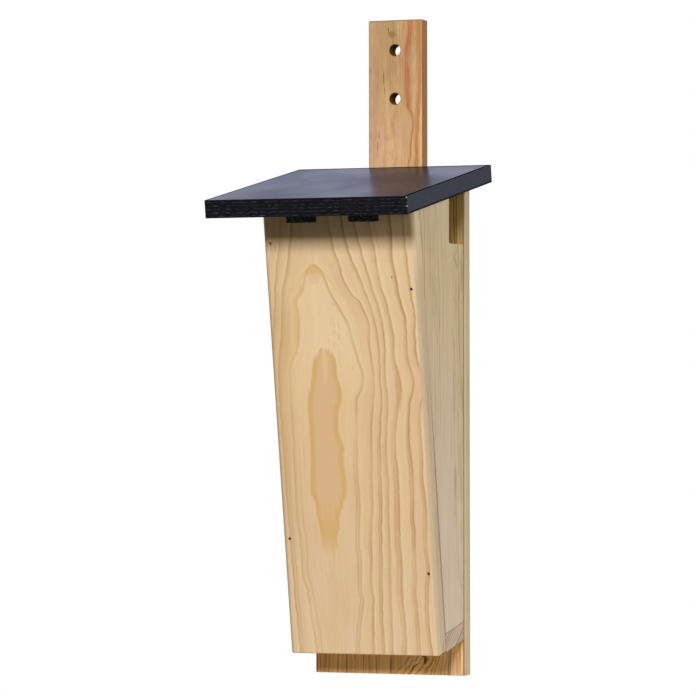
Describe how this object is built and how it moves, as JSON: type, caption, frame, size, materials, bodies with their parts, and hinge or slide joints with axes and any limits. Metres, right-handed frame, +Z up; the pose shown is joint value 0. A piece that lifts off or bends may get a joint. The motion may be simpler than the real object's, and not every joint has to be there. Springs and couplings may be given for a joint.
{
  "type": "bat box",
  "caption": "Tall tapered softwood bat box with a sloping plywood roof hinged at the front, a side entrance under the eaves and a drilled hanging batten.",
  "frame": {"origin": "on the hanging batten's rear face, midway between the two hanging holes", "axes": "+Z up along the batten, +Y out of the batten's rear face towards the wall, +X to the right seen from the front"},
  "size_m": [0.21, 0.2735, 0.6705],
  "materials": {
    "front_pine": "planed, bare pine with cathedral grain",
    "side_pine": "planed, bare pine with fine straight grain",
    "batten_pine": "planed, bare reddish pine",
    "filmed_plywood": "black semi-gloss film over plywood, edges painted black",
    "black_steel": "black, semi-gloss",
    "zinc_steel": "bright zinc"
  },
  "bodies": {
    "box": {"front_panel": "front_pine", "floor": "side_pine", "left_side": "side_pine", "right_side": "side_pine", "back_panel": "batten_pine", "hanging_batten": "batten_pine", "hinge_left_front_leaf": "black_steel", "hinge_left_front_screw_1": "black_steel", "hinge_left_front_screw_2": "black_steel", "hinge_left_pin": "black_steel", "hinge_right_front_leaf": "black_steel", "hinge_right_front_screw_1": "black_steel", "hinge_right_front_screw_2": "black_steel", "hinge_right_pin": "black_steel", "front_nail_left_1": "zinc_steel", "front_nail_left_2": "zinc_steel", "front_nail_right_1": "zinc_steel", "front_nail_right_2": "zinc_steel", "rear_nail_left_1": "zinc_steel", "rear_nail_left_2": "zinc_steel", "rear_nail_right_1": "zinc_steel", "rear_nail_right_2": "zinc_steel", "floor_nail_left_1": "zinc_steel", "floor_nail_left_2": "zinc_steel", "floor_nail_right_1": "zinc_steel", "floor_nail_right_2": "zinc_steel", "batten_screw_1": "zinc_steel", "batten_screw_2": "zinc_steel", "batten_screw_3": "zinc_steel", "batten_screw_4": "zinc_steel"},
    "roof": {"roof": "filmed_plywood", "hinge_left_roof_leaf": "black_steel", "hinge_left_roof_screw_1": "black_steel", "hinge_left_roof_screw_2": "black_steel", "hinge_right_roof_leaf": "black_steel", "hinge_right_roof_screw_1": "black_steel", "hinge_right_roof_screw_2": "black_steel"}
  },
  "joints": [
    {"name": "roof_hinge", "type": "hinge", "parent": "box", "child": "roof", "pos_m": [0, -0.18954, -0.14642], "axis": [1, 0, 0], "range_deg": [0, 90]}
  ]
}
